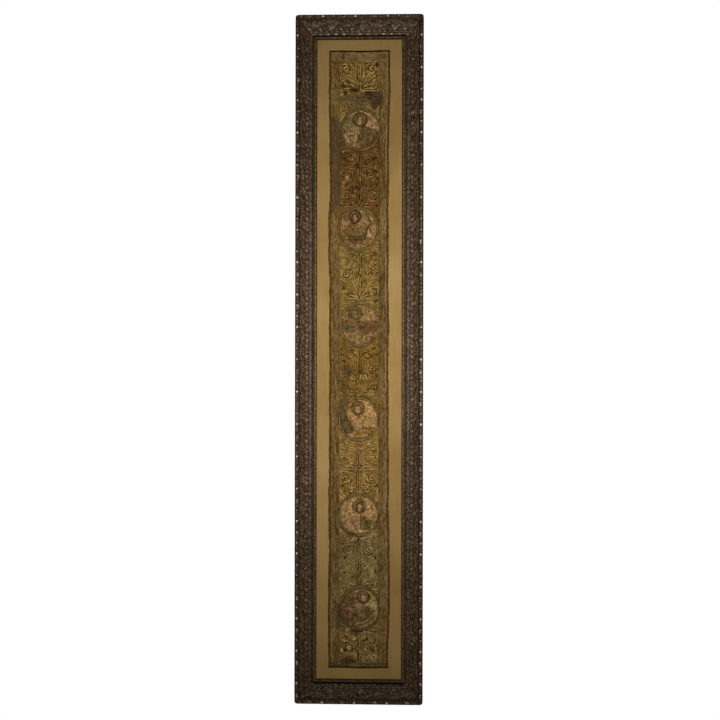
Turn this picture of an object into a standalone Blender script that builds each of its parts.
"""Framed embroidered panel: a long narrow band of old embroidery, laid on a cloth-covered board and
framed in a deep carved-looking moulding.

The panel stands upright with its front towards -Y and its back on the plane y = 0. The origin is
the middle of the top rail's back face, where the frame meets the wall that holds it. Everything is
in metres. Layers are told by how far out from the wall they lie, so a face at "out" is at y = -out.
"""

import math

import bmesh
import bpy

FRAME_HEIGHT = 1.833
FRAME_WIDTH = 0.341
RAIL_WIDTH = 0.0565
HANG_BELOW_TOP = 0.028
GAP = 0.0003
SIDE_PLAY = 0.001

OPENING_HALF_WIDTH = FRAME_WIDTH / 2 - RAIL_WIDTH
OPENING_HALF_HEIGHT = FRAME_HEIGHT / 2 - RAIL_WIDTH
CENTRE_Z = HANG_BELOW_TOP - FRAME_HEIGHT / 2

# The moulding's cross section, in millimetres: across from the sight edge towards the outer edge,
# out from the wall, and how much of the carved relief that point takes.
MOULDING = (
    # across, out, relief
    (0.0, 22.4, 0.0),
    (0.0, 24.8, 0.0),
    (3.2, 29.4, 0.0),
    (5.2, 28.8, 0.0),
    (9.4, 22.4, 0.0),
    (13.8, 12.8, 0.0),
    (16.0, 10.4, 0.0),
    (23.4, 11.6, 0.0),
    (26.4, 15.4, 0.1),
    (31.2, 17.0, 0.2),
    (37.6, 24.0, 0.6),
    (42.8, 35.4, 0.8),
    (46.4, 46.0, 0.8),
    (50.8, 50.4, 1.0),
    (54.8, 48.8, 0.6),
    (56.5, 43.6, 0.0),
    (54.6, 0.0, 0.0),
    (8.0, 0.0, 0.0),
    (8.0, 22.4, 0.0),
)
RABBET_WIDTH = 0.008
LIP_BACK = 0.0224

# The carving repeats along each rail: a bud stands out on the crest, with a flatter leaf halfway.
CARVING_REPEAT = 0.086
CARVING_STEPS = (1.0, -0.25, 0.35, -0.25)
CARVING_HEIGHT = 0.0022
CARVING_FADE = 0.040
BUD_OFFSET_RAIL = -0.011
BUD_OFFSET_STILE = 0.0
CORNER_ROUNDING = 0.0018
CORNER_START = 0.87

BACK_BOARD_THICKNESS = 0.003
MOUNT_BOARD_THICKNESS = 0.004
MOUNT_CLOTH_THICKNESS = 0.001

# The embroidered band, measured from the middle of the opening.
BAND_HALF_LENGTH = 0.8256
EDGE_SHOWS = 0.0034
BACKING_THICKNESS = 0.001
GROUND_THICKNESS = 0.0012
BRAID_THICKNESS = 0.0012
PANEL_HALF_WIDTH = 0.0535
PANEL_CENTRE_X = -0.0005
TOP_BRAID_HEIGHT = 0.0265
BOTTOM_BRAID_HEIGHT = 0.0095
COCKLE_HEIGHT = 0.0007
COCKLES_PER_SPAN = 2
STEPS_PER_SPAN = 6
STEPS_PER_ROUNDEL = 3

# The band's uneven outline, in millimetres: height above the middle, reach to the left, reach to
# the right.
OUTLINE = (
    # height, left, right
    (826.0, 77.0, 76.9),
    (722.0, 78.2, 78.0),
    (625.0, 77.3, 75.2),
    (528.0, 75.7, 74.2),
    (479.0, 74.4, 75.0),
    (382.0, 78.0, 73.5),
    (285.0, 78.7, 74.2),
    (188.0, 75.6, 74.2),
    (90.0, 76.8, 76.3),
    (-7.0, 75.3, 73.8),
    (-104.0, 76.3, 75.0),
    (-201.0, 75.6, 75.0),
    (-298.0, 76.0, 75.8),
    (-396.0, 77.7, 75.4),
    (-493.0, 76.2, 77.7),
    (-590.0, 76.8, 78.1),
    (-687.0, 77.8, 78.6),
    (-784.0, 77.4, 75.2),
    (-826.0, 76.4, 75.2),
)

# The applied roundels, in millimetres: across from the middle, height above it, and half the
# width and height to the outside of the flat band sewn round each. The cloth has drawn in across,
# so they stand a little taller than they are wide.
ROUNDELS = (
    # across, height, half width, half height
    (2.6, 617.2, 55.2, 58.6),
    (-3.3, 349.4, 55.4, 61.4),
    (1.0, 93.8, 55.4, 61.0),
    (-0.6, -160.2, 54.8, 60.8),
    (-0.6, -417.6, 55.6, 59.2),
    (2.8, -669.0, 55.2, 61.4),
)
ROUNDEL_SEGMENTS = 40
ROUNDEL_THICKNESS = 0.0014
RING_THICKNESS = 0.0018
RING_WIDTH_AT_SIDES = 0.0050
RING_WIDTH_AT_ENDS = 0.0080
BRAID_CLEARANCE = 0.0006

MM = 0.001


def clear_scene():
    for old in list(bpy.data.objects):
        bpy.data.objects.remove(old)


def collection(name):
    made = bpy.data.collections.new(name)
    bpy.context.scene.collection.children.link(made)
    return made


def material(name, colour, roughness, metallic=0.0):
    made = bpy.data.materials.new(name)
    made.use_nodes = True
    shader = made.node_tree.nodes["Principled BSDF"]
    shader.inputs["Base Color"].default_value = (*colour, 1.0)
    shader.inputs["Roughness"].default_value = roughness
    shader.inputs["Metallic"].default_value = metallic
    made.diffuse_color = (*colour, 1.0)
    return made


def move_to(target, thing, finish=None):
    for home in list(thing.users_collection):
        home.objects.unlink(thing)
    target.objects.link(thing)
    if finish:
        thing.data.materials.clear()
        thing.data.materials.append(finish)


def loft(name, sections):
    """A closed body through sections of equal point counts, with a flat cap at each end."""
    shape = bmesh.new()
    rings = [[shape.verts.new(point) for point in section] for section in sections]
    count = len(sections[0])
    for near, far in zip(rings, rings[1:]):
        for i in range(count):
            j = (i + 1) % count
            shape.faces.new((near[i], near[j], far[j], far[i]))
    shape.faces.new(rings[0])
    shape.faces.new(list(reversed(rings[-1])))
    bmesh.ops.recalc_face_normals(shape, faces=shape.faces)
    mesh = bpy.data.meshes.new(name)
    shape.to_mesh(mesh)
    shape.free()
    made = bpy.data.objects.new(name, mesh)
    bpy.context.scene.collection.objects.link(made)
    return made


def smoothstep(t):
    t = min(max(t, 0.0), 1.0)
    return t * t * (3.0 - 2.0 * t)


def carving(along, half_length, offset):
    """How far the carving stands out at a place along a rail, fading to nothing at its corners."""
    step = CARVING_REPEAT / len(CARVING_STEPS)
    index = round((along - offset) / step) % len(CARVING_STEPS)
    fade = smoothstep((half_length - abs(along)) / CARVING_FADE)
    return CARVING_HEIGHT * CARVING_STEPS[index] * fade


def rail_section(along, skew, half_length, offset, round_corner=False):
    """The moulding's outline at one place. With skew, its points run on towards the mitre."""
    raised = 0.0 if skew else carving(along, half_length, offset)
    points = []
    for across_mm, out_mm, relief in MOULDING:
        across = across_mm * MM
        if round_corner:
            across = min(across, RAIL_WIDTH - CORNER_ROUNDING)
        points.append((along + skew * across, across, out_mm * MM + raised * relief))
    return points


def rail_sections(half_length, offset):
    """Sections of one rail from mitre to mitre, as (along, across, out). The steps fall on the
    carving's repeat, and the ends stop half a gap short of the mitre."""
    step = CARVING_REPEAT / len(CARVING_STEPS)
    first = math.ceil((-half_length - offset) / step + 0.5)
    last = math.floor((half_length - offset) / step - 0.5)
    end = half_length - GAP / 2 * math.sqrt(2)
    sections = [
        rail_section(-end, -1.0, half_length, offset, round_corner=True),
        rail_section(-end, -CORNER_START, half_length, offset),
    ]
    for index in range(first, last + 1):
        sections.append(rail_section(offset + index * step, 0.0, half_length, offset))
    sections.append(rail_section(end, CORNER_START, half_length, offset))
    sections.append(rail_section(end, 1.0, half_length, offset, round_corner=True))
    return sections


def make_rail(name, side, finish, parts):
    """One mitred moulding. side is left, right, top or bottom."""
    upright = side in ("left", "right")
    sign = 1.0 if side in ("right", "top") else -1.0
    half_length = OPENING_HALF_HEIGHT if upright else OPENING_HALF_WIDTH
    edge = OPENING_HALF_WIDTH if upright else OPENING_HALF_HEIGHT
    offset = BUD_OFFSET_STILE if upright else BUD_OFFSET_RAIL
    placed = []
    for section in rail_sections(half_length, offset):
        ring = []
        for along, across, out in section:
            away = sign * (edge + across)
            if upright:
                ring.append((away, -out, CENTRE_Z + along))
            else:
                ring.append((along, -out, CENTRE_Z + away))
        placed.append(ring)
    rail = loft(name, placed)
    move_to(parts, rail, finish)
    return rail


def make_board(name, near, far, play, finish, parts):
    """A flat sheet in the rabbet, from near to far out from the wall."""
    half_width = OPENING_HALF_WIDTH + RABBET_WIDTH - play
    half_height = OPENING_HALF_HEIGHT + RABBET_WIDTH - play
    bpy.ops.mesh.primitive_cube_add(size=1.0, location=(0.0, -(near + far) / 2, CENTRE_Z))
    board = bpy.context.object
    board.name = name
    board.data.name = name
    board.scale = (2 * half_width, far - near, 2 * half_height)
    bpy.context.view_layer.update()
    board.data.transform(board.matrix_world)
    board.matrix_world.identity()
    move_to(parts, board, finish)
    return board


def outline_at(height):
    """The band's reach to the left and right at a height above the middle."""
    rows = [(top * MM, left * MM, right * MM) for top, left, right in OUTLINE]
    height = min(max(height, rows[-1][0]), rows[0][0])
    for upper, lower in zip(rows, rows[1:]):
        if height >= lower[0]:
            t = smoothstep((upper[0] - height) / (upper[0] - lower[0]))
            return (
                upper[1] + (lower[1] - upper[1]) * t,
                upper[2] + (lower[2] - upper[2]) * t,
            )
    return rows[-1][1:]


def flat_spans():
    """The stretches that the stiff roundels hold flat, from the top down."""
    reach = [(height * MM, half_height * MM) for _, height, _, half_height in ROUNDELS]
    return [(height + half, height - half) for height, half in reach]


def free_spans():
    """The stretches of the band above, between and below the roundels."""
    held = flat_spans()
    tops = [BAND_HALF_LENGTH] + [low for _, low in held]
    bottoms = [high for high, _ in held] + [-BAND_HALF_LENGTH]
    return list(zip(tops, bottoms))


def band_heights():
    """The heights at which the band's layers have sections, from the top down."""
    heights = []
    for free, held in zip(free_spans(), flat_spans() + [None]):
        for span, steps in ((free, STEPS_PER_SPAN), (held, STEPS_PER_ROUNDEL)):
            if span:
                top, bottom = span
                heights += [top + (bottom - top) * i / steps for i in range(steps)]
    return heights + [-BAND_HALF_LENGTH]


def cockle(height):
    """How far the old cloth has lifted off its board. It lies flat where a roundel stiffens it."""
    for top, bottom in free_spans():
        if bottom < height < top:
            t = (top - height) / (top - bottom)
            return COCKLE_HEIGHT * math.sin(math.pi * COCKLES_PER_SPAN * t) ** 2
    return 0.0


def heights_between(top, bottom):
    inside = [h for h in band_heights() if bottom + MM < h < top - MM]
    return [top] + inside + [bottom]


def make_layer(name, span, sides, near, far, finish, parts, back_is_flat=False):
    """A layer of the band. sides gives its left and right edge at a height, and near and far
    are how far out from the wall its two faces lie before the cloth's cockle lifts them."""
    sections = []
    for height in heights_between(*span):
        left, right = sides(height)
        lift = cockle(height)
        back = near if back_is_flat else near + lift
        z = CENTRE_Z + height
        sections.append(
            [
                (left, -back, z),
                (right, -back, z),
                (right, -(far + lift), z),
                (left, -(far + lift), z),
            ]
        )
    layer = loft(name, sections)
    move_to(parts, layer, finish)
    return layer


def backing_sides(height):
    left, right = outline_at(height)
    return -left - EDGE_SHOWS, right + EDGE_SHOWS


def ground_sides(height):
    left, right = outline_at(height)
    return -left, right


def left_braid_sides(height):
    return -outline_at(height)[0], PANEL_CENTRE_X - PANEL_HALF_WIDTH


def right_braid_sides(height):
    return PANEL_CENTRE_X + PANEL_HALF_WIDTH, outline_at(height)[1]


def make_disc(name, roundel, grow_across, grow_up, near, far):
    """An oval disc that faces forwards, as large as a roundel's outside and grown or shrunk."""
    across, height, half_width, half_height = (value * MM for value in roundel)
    bpy.ops.mesh.primitive_cylinder_add(
        vertices=ROUNDEL_SEGMENTS,
        radius=1.0,
        depth=far - near,
        location=(across, -(near + far) / 2, CENTRE_Z + height),
        rotation=(math.pi / 2, 0.0, 0.0),
    )
    disc = bpy.context.object
    disc.name = name
    disc.data.name = name
    disc.scale = (half_width + grow_across, half_height + grow_up, 1.0)
    bpy.context.view_layer.update()
    disc.data.transform(disc.matrix_world)
    disc.matrix_world.identity()
    return disc


def cut_away(thing, cutter, cutters):
    """Takes a cutter's shape out of a body."""
    move_to(cutters, cutter)
    cutter.hide_render = True
    cutter.display_type = "WIRE"
    cut = thing.modifiers.new(cutter.name, "BOOLEAN")
    cut.operation = "DIFFERENCE"
    cut.solver = "EXACT"
    cut.object = cutter


def make_ring(name, roundel, near, finish, parts, cutters):
    """The flat band sewn round a roundel, wider at its top and bottom than at its sides."""
    far = near + RING_THICKNESS
    ring = make_disc(name, roundel, 0.0, 0.0, near, far)
    hole = make_disc(
        f"{name}_hole", roundel, -RING_WIDTH_AT_SIDES, -RING_WIDTH_AT_ENDS, near - MM, far + MM
    )
    cut_away(ring, hole, cutters)
    move_to(parts, ring, finish)
    return ring


def cut_for_roundels(braid, near, far, cutters):
    """Opens a side braid where the roundels lap into it."""
    for number, roundel in enumerate(ROUNDELS, 1):
        name = f"{braid.name}_cut_{number}"
        room = BRAID_CLEARANCE
        cut_away(braid, make_disc(name, roundel, room, room, near - MM, far + MM), cutters)


def make_band(parts, cutters):
    """The textile: a dark backing, the embroidered ground, four braids and six roundels."""
    backing_finish = material("dark_edge_cloth", (0.040, 0.022, 0.008), 0.95)
    ground_finish = material("gold_embroidery", (0.185, 0.120, 0.035), 0.75)
    braid_finish = material("worn_galloon", (0.130, 0.082, 0.034), 0.90)
    roundel_finish = material("silk_roundel", (0.300, 0.190, 0.090), 0.80)
    ring_finish = material("couched_cord", (0.110, 0.070, 0.028), 0.85)

    backing_near = LIP_BACK
    backing_far = backing_near + BACKING_THICKNESS
    ground_near = backing_far + GAP
    ground_far = ground_near + GROUND_THICKNESS
    top_near = ground_far + GAP
    braid_far = top_near + BRAID_THICKNESS

    whole = (BAND_HALF_LENGTH, -BAND_HALF_LENGTH)
    longer = BAND_HALF_LENGTH + EDGE_SHOWS
    make_layer(
        "band_backing",
        (longer, -longer),
        backing_sides,
        backing_near,
        backing_far,
        backing_finish,
        parts,
        back_is_flat=True,
    )
    make_layer(
        "band_ground", whole, ground_sides, ground_near, ground_far, ground_finish, parts
    )

    side_top = BAND_HALF_LENGTH - TOP_BRAID_HEIGHT - GAP
    side_bottom = -BAND_HALF_LENGTH + BOTTOM_BRAID_HEIGHT + GAP
    braids = (
        ("braid_left", (side_top, side_bottom), left_braid_sides),
        ("braid_right", (side_top, side_bottom), right_braid_sides),
        ("braid_top", (BAND_HALF_LENGTH, side_top + GAP), ground_sides),
        ("braid_bottom", (side_bottom - GAP, -BAND_HALF_LENGTH), ground_sides),
    )
    for name, span, sides in braids:
        braid = make_layer(name, span, sides, top_near, braid_far, braid_finish, parts)
        if name in ("braid_left", "braid_right"):
            cut_for_roundels(braid, top_near, braid_far, cutters)

    for number, roundel in enumerate(ROUNDELS, 1):
        disc = make_disc(
            f"roundel_{number}",
            roundel,
            -RING_WIDTH_AT_SIDES - GAP,
            -RING_WIDTH_AT_ENDS - GAP,
            top_near,
            top_near + ROUNDEL_THICKNESS,
        )
        move_to(parts, disc, roundel_finish)
        ring_name = f"roundel_ring_{number}"
        make_ring(ring_name, roundel, top_near, ring_finish, parts, cutters)


def make_frame(parts):
    """The four mitred rails."""
    finish = material("bronzed_composition", (0.060, 0.045, 0.032), 0.45, 0.35)
    for side in ("left", "right", "top", "bottom"):
        make_rail(f"frame_{side}", side, finish, parts)


def make_mount(parts):
    """What fills the rabbet, from the lip back: covering cloth, its board and the back board."""
    cloth_finish = material("mount_cloth", (0.330, 0.220, 0.095), 0.95)
    board_finish = material("mount_board", (0.500, 0.440, 0.330), 0.90)
    back_finish = material("back_board", (0.220, 0.130, 0.070), 0.85)
    cloth_far = LIP_BACK - GAP
    cloth_near = cloth_far - MOUNT_CLOTH_THICKNESS
    board_far = cloth_near - GAP
    board_near = board_far - MOUNT_BOARD_THICKNESS
    back_far = board_near - GAP
    back_near = back_far - BACK_BOARD_THICKNESS
    make_board("mount_cloth", cloth_near, cloth_far, SIDE_PLAY, cloth_finish, parts)
    make_board("mount_board", board_near, board_far, SIDE_PLAY, board_finish, parts)
    make_board("back_board", back_near, back_far, SIDE_PLAY, back_finish, parts)


def main():
    clear_scene()
    parts = collection("framed_embroidered_panel")
    cutters = collection("cutters")
    make_frame(parts)
    make_mount(parts)
    make_band(parts, cutters)


main()
